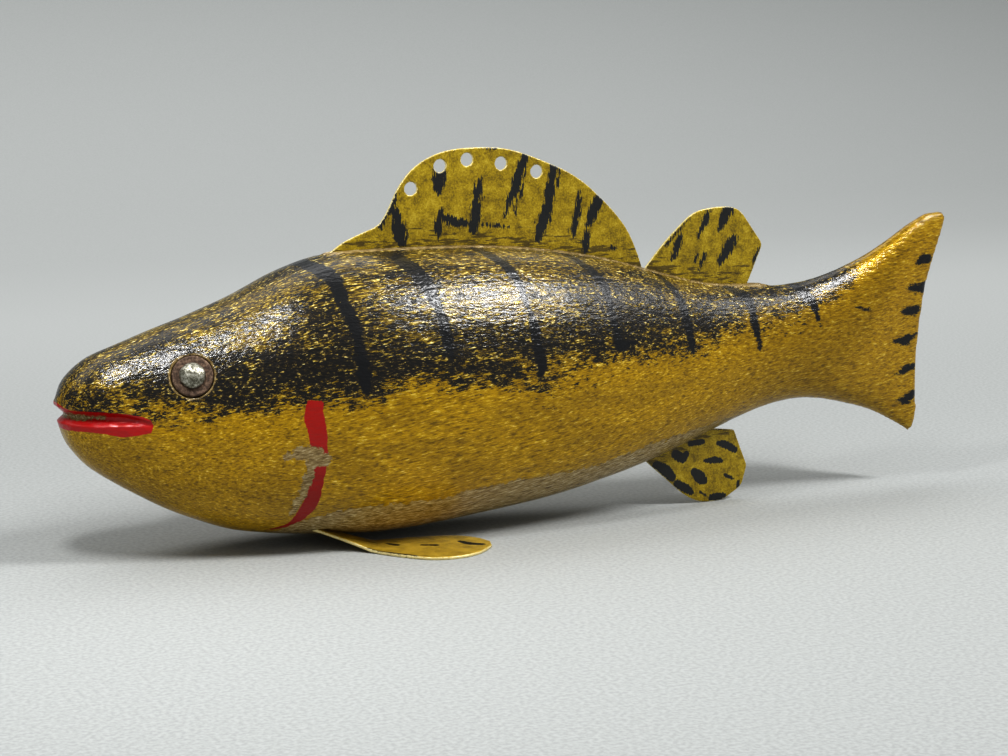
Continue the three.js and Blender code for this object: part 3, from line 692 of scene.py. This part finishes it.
# A plain steel washer gone brown: dull rust over dark metal, pitted every quarter of a millimetre.
washer_steel = new_material("browned_steel", Metallic=0.5)
place = add(washer_steel, "TexCoord", {}, out=3)
rust = add(washer_steel, "TexNoise", {"Vector": place, "Scale": 1 / (0.6 * MM),
                                      "Detail": 5, "Roughness": 0.7})
pits = add(washer_steel, "TexNoise", {"Vector": place, "Scale": 1 / (0.25 * MM), "Detail": 3})
brown = add(washer_steel, "ValToRGB", {"Fac": rust}, stops=[
    (0.38, "#3c2f26"), (0.52, "#5e4c3f"), (0.64, "#85715f")])
rough = add(washer_steel, "MapRange", {"Value": rust, "From Min": 0.3, "From Max": 0.7,
                                       "To Min": 0.45, "To Max": 0.7})
pitted = add(washer_steel, "Bump", {"Strength": 0.6, "Distance": 0.06 * MM, "Height": pits})
finish_with(washer_steel, Base_Color=brown, Roughness=rough, Normal=pitted)

# The blued head of an upholstery tack, worn through to bright steel, with tarnish in the dints.
tack_steel = new_material("worn_tack_steel", Metallic=0.9)
place = add(tack_steel, "TexCoord", {}, out=3)
tarnish = add(tack_steel, "TexNoise", {"Vector": place, "Scale": 1 / (0.7 * MM),
                                       "Detail": 4, "Roughness": 0.7})
grey = add(tack_steel, "ValToRGB", {"Fac": tarnish}, stops=[
    (0.4, "#5f5d52"), (0.5, "#8f8d80"), (0.6, "#bdbbb0")])
rough = add(tack_steel, "MapRange", {"Value": tarnish, "From Min": 0.3, "From Max": 0.7,
                                     "To Min": 0.5, "To Max": 0.34})
dinted = add(tack_steel, "Bump", {"Strength": 0.6, "Distance": 0.1 * MM, "Height": tarnish})
finish_with(tack_steel, Base_Color=grey, Roughness=rough, Normal=dinted)

for side in ("left", "right"):
    for kind, finish in (("washer", washer_steel), ("tack", tack_steel)):
        node = f"eye_{kind}_{side}"
        piece = copy_of_node(node, f"{node}_steel")
        apply_modifier(piece, "REMESH", mode="VOXEL", voxel_size=EYE_VOXEL * MM)
        apply_modifier(piece, "SMOOTH", factor=0.5, iterations=4)
        at = points_of(piece)
        if kind == "tack":
            dints = np.array([lumps.noise(Vector(p) / DINT_SPACING) for p in at])
            move_points(piece, at + normals_of(piece) * (DINT_HEIGHT * dints[:, None]))
        else:
            grown = 1 + RIM_GROWTH * rise(RIM_FROM, RIM_TO, from_eye(at))[:, None]
            middle = eye_centre * (1, 1 if side == "left" else -1, 1)
            move_points(piece, middle + (at - middle) * grown)
        for polygon in piece.data.polygons:
            polygon.use_smooth = True
        piece.data.materials.append(finish)
        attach(piece, "root")
        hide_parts(node)

# The table, light and camera
# A pale seamless sheet under the decoy that curves up behind it, lit softly from above and from the
# right.

# Matt background paper: a faint tooth and no sheen. Its colour holds painted light and shade: it is
# a little paler behind the decoy and darkens up the wall.
paper = new_material("matt_grey_paper", Roughness=0.9)
place = add(paper, "TexCoord", {}, out=3)
tooth = add(paper, "TexNoise", {"Vector": place, "Scale": 1 / (0.9 * MM), "Detail": 3})
grey = add(paper, "ValToRGB", {"Fac": tooth}, stops=[(0.35, "#999b9a"), (0.65, "#a7a9a8")])
depth = add(paper, "SeparateXYZ", {"Vector": place}, out=1)
rise_up = add(paper, "SeparateXYZ", {"Vector": place}, out=2)
# Painted light: the paper is paler behind the decoy
painted_light_far = add(paper, "MapRange", {"Value": depth, "From Min": 0.05, "From Max": 0.4,
                                  "To Max": 0.6}, **EASED)
grey = add(paper, "Mix", {0: painted_light_far, 6: grey, 7: hex_colour("#c2c4c3")}, **COLOURS)
# Painted shade: the paper darkens up the wall
upright = add(paper, "MapRange", {"Value": rise_up, "From Min": 0.02, "From Max": 0.3,
                                  "To Max": 0.7}, **EASED)
grey = add(paper, "Mix", {0: upright, 6: grey, 7: hex_colour("#7d7f7e")}, **COLOURS)
finish_with(paper, Base_Color=grey)
finish_with(paper, Normal=add(paper, "Bump", {"Strength": 0.3, "Distance": 0.06 * MM, "Height": tooth}))
# The sheet in metres: its width and depth, where it starts to curve up, the curve's radius and wall
WIDE, DEEP, CURVE_FROM, TURN, WALL = 5.0, 2.4, 0.55, 0.9, 1.5
CURVE_STEPS = 12
bpy.ops.object.select_all(action="DESELECT")
bpy.ops.mesh.primitive_plane_add(size=1, location=(0, 0, 0))
sweep = bpy.context.object
sweep.name = "paper_sweep"
sweep.scale = (WIDE, DEEP, 1)
sweep.location = (0, CURVE_FROM - DEEP / 2, 0)
bpy.ops.object.transform_apply(location=True, scale=True)
bpy.ops.object.mode_set(mode="EDIT")
bpy.ops.mesh.select_mode(type="EDGE")
bpy.ops.mesh.select_all(action="DESELECT")
bpy.ops.object.mode_set(mode="OBJECT")
for edge in sweep.data.edges:
    edge.select = all(sweep.data.vertices[i].co.y > CURVE_FROM - 0.01 for i in edge.vertices)
bpy.ops.object.mode_set(mode="EDIT")
for step in range(CURVE_STEPS):
    slope = math.radians(90) * (step + 0.5) / CURVE_STEPS
    reach = TURN * math.radians(90) / CURVE_STEPS
    bpy.ops.mesh.extrude_region_move(
        TRANSFORM_OT_translate={"value": (0, reach * math.cos(slope), reach * math.sin(slope))})
bpy.ops.mesh.extrude_region_move(TRANSFORM_OT_translate={"value": (0, 0, WALL)})
bpy.ops.object.mode_set(mode="OBJECT")
for polygon in sweep.data.polygons:
    polygon.use_smooth = True
sweep.data.materials.append(paper)

world = bpy.data.worlds.new("studio")
bpy.context.scene.world = world
world.use_nodes = True
world.node_tree.nodes["Background"].inputs["Color"].default_value = hex_colour("#e4e6e6")
world.node_tree.nodes["Background"].inputs["Strength"].default_value = 0.5
bpy.context.scene.view_settings.view_transform = "Standard"
bpy.context.scene.view_settings.look = "High Contrast"


def softbox(name, place, aim, width, height, power):
    """A soft rectangular light that faces a point, in metres and watts."""
    light = bpy.data.lights.new(name, "AREA")
    light.shape = "RECTANGLE"
    light.size = width
    light.size_y = height
    light.energy = power
    holder = bpy.data.objects.new(name, light)
    bpy.context.scene.collection.objects.link(holder)
    holder.location = place
    holder.rotation_euler = (Vector(aim) - Vector(place)).to_track_quat("-Z", "Y").to_euler()


# The window draws the highlight along the flank, the side panel lights the tail, the card gives the
# head its sheen, and the ceiling lights the floor and wall behind.
softbox("tall_window", (0.376, -0.38, 0.64), (0, 0, 0.04), 0.12, 0.25, 3.8)
softbox("side_panel", (0.62, -0.26, 0.6), (0.03, 0, 0.05), 0.3, 0.16, 0.8)
softbox("near_card", (-0.137, -0.088, 0.205), (-0.09, -0.015, 0.05), 0.024, 0.045, 0.21)
softbox("ceiling", (-0.3, 0.55, 1.05), (-0.28, 0.47, 0), 2.2, 0.7, 6.8)

# A long lens, ahead of the left flank and a little above it
camera_data = bpy.data.cameras.new("camera")
camera = bpy.data.objects.new("camera", camera_data)
bpy.context.scene.collection.objects.link(camera)
PHOTO_WIDTH = 1008
FOCAL_IN_PIXELS = 2400
camera_data.sensor_width = 36
camera_data.lens = FOCAL_IN_PIXELS / PHOTO_WIDTH * camera_data.sensor_width
camera_data.clip_start = 0.01
AIM = Vector((-7.47, 0, 32.37)) * MM
DISTANCE = 528.9 * MM
azimuth, elevation = math.radians(-25), math.radians(9)
level = math.cos(elevation)
back = Vector((math.sin(azimuth) * level, -math.cos(azimuth) * level, math.sin(elevation)))
camera.location = AIM + back * DISTANCE
camera.rotation_euler = (-back).to_track_quat("-Z", "Y").to_euler()
bpy.context.scene.camera = camera
